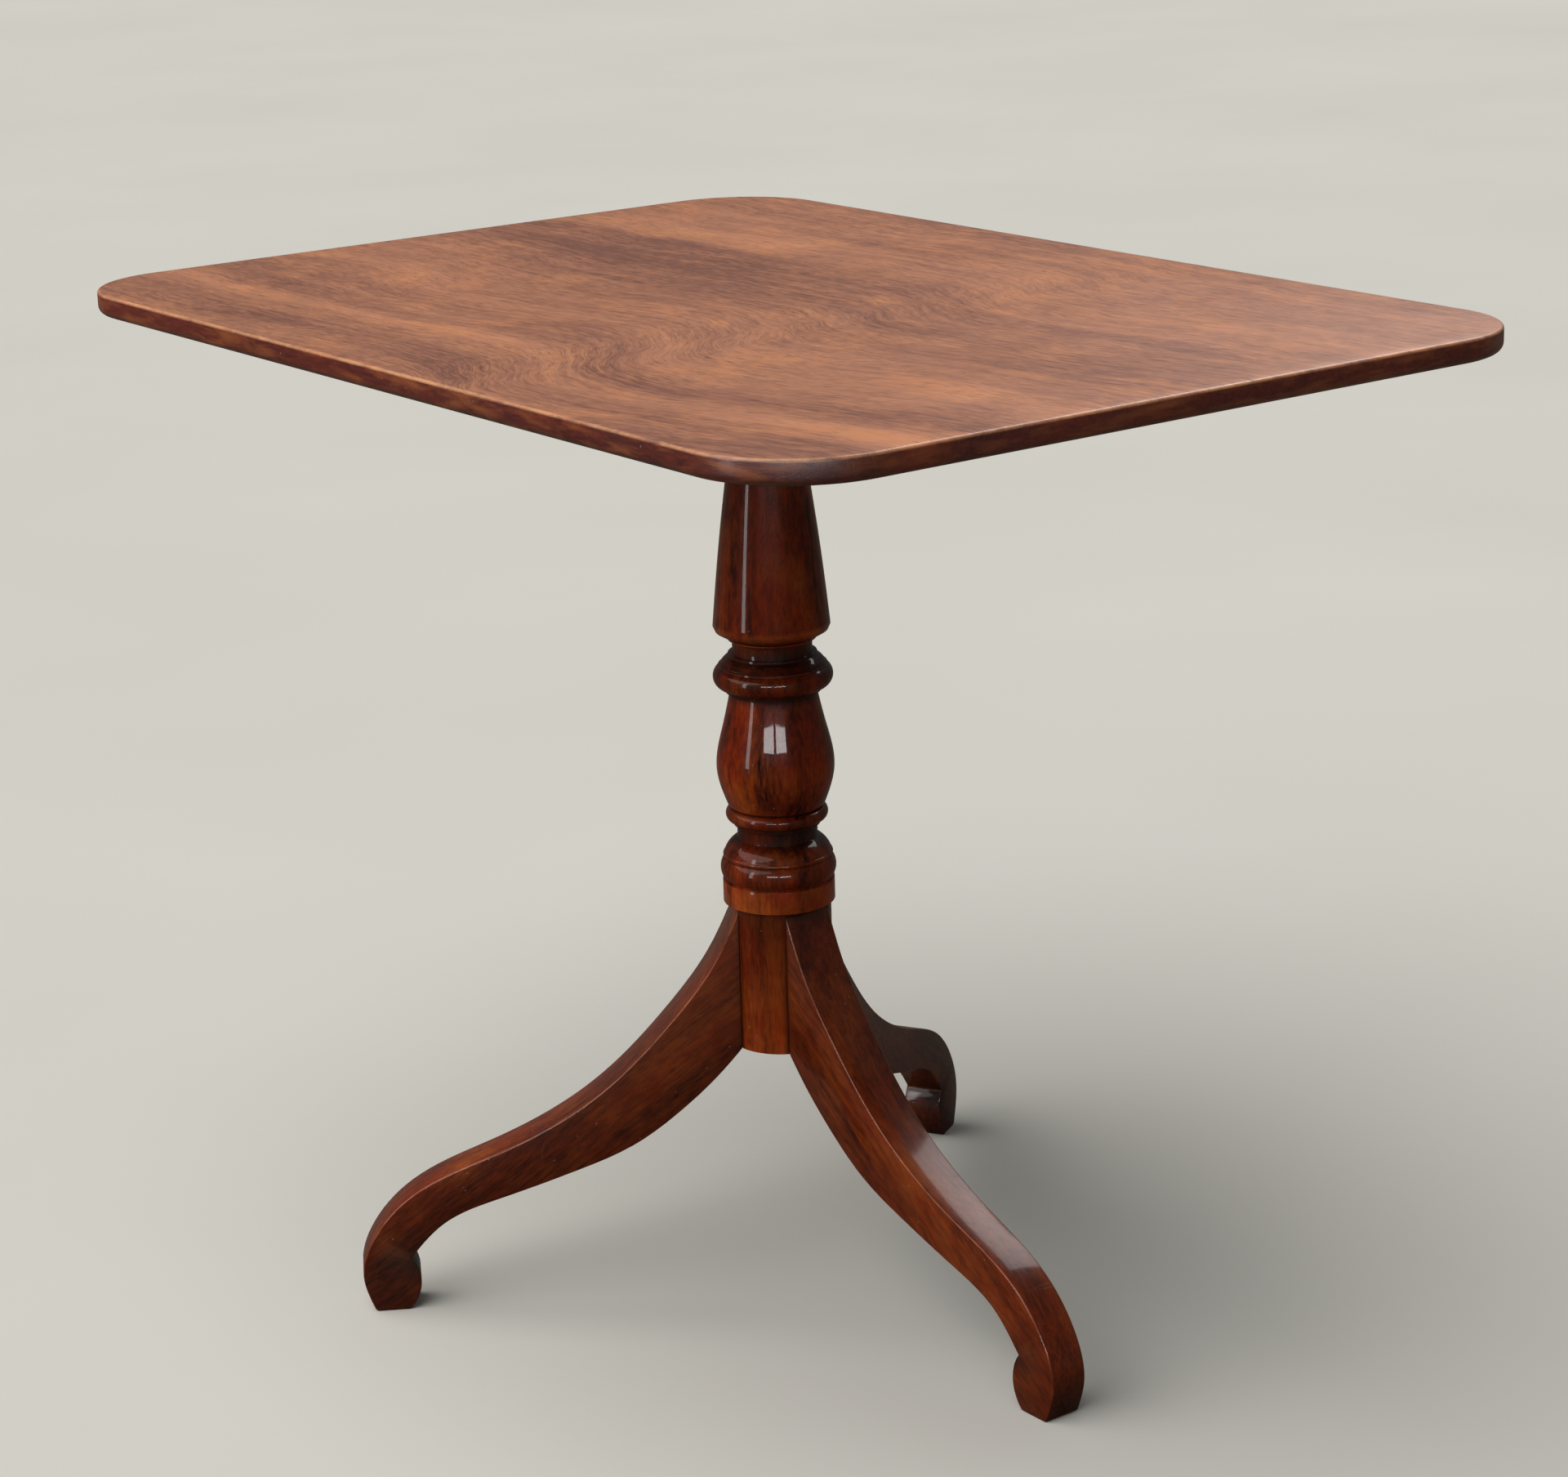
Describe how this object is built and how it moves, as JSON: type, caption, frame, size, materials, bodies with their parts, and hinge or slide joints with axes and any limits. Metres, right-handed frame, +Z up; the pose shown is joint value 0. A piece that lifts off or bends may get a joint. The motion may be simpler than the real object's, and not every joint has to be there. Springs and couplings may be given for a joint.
{
  "type": "tilt-top tripod side table",
  "caption": "Oblong tilt-top side table on a turned column with three curved scroll-foot legs, and a sprung catch under the top.",
  "frame": {"origin": "on the floor under the middle of the column", "axes": "+Z up, +Y along the length and grain of the top, +X across the top; the single leg points to -Y and the pivot edge of the block is on the +Y side"},
  "size_m": [0.61, 0.84, 0.702],
  "materials": {
    "top_wood": "satin polished mahogany",
    "column_wood": "glossy polished mahogany",
    "leg_wood": "polished mahogany with worn toes",
    "underside_wood": "bare aged mahogany",
    "wedge_wood": "bare aged hardwood",
    "old_brass": "tarnished",
    "screw_brass": "tarnished",
    "screw_steel": "dull",
    "pin_steel": "dull",
    "spring_steel": "bright",
    "plate_iron": "forged, dark"
  },
  "bodies": {
    "base": {"column": "column_wood", "leg_left": "leg_wood", "leg_front": "leg_wood", "leg_right": "leg_wood", "pivot_block": "underside_wood", "tenon_wedge": "wedge_wood", "pivot_pin_left": "pin_steel", "pivot_pin_right": "pin_steel", "keeper_plate": "old_brass", "keeper_screws": "screw_brass", "spider_plate": "plate_iron", "spider_screws": "screw_steel"},
    "top": {"table_top": "top_wood", "bearer_left": "underside_wood", "bearer_right": "underside_wood", "bearer_screws_left": "screw_steel", "bearer_screws_right": "screw_steel", "catch_plate": "old_brass", "catch_case": "old_brass", "catch_screws": "screw_brass", "catch_spring": "spring_steel"},
    "catch": {"catch_bolt": "old_brass", "catch_knob": "old_brass"}
  },
  "joints": [
    {"name": "top_tilt", "type": "hinge", "parent": "base", "child": "top", "pos_m": [0, 0.044, 0.668], "axis": [-1, 0, 0], "range_deg": [0, 90]},
    {"name": "catch_slide", "type": "slide", "parent": "top", "child": "catch", "axis": [0, -1, 0], "range_m": [0, 0.008], "stiffness_N_per_m": 300, "springref_m": -0.01, "deforming": ["catch_spring"]}
  ]
}
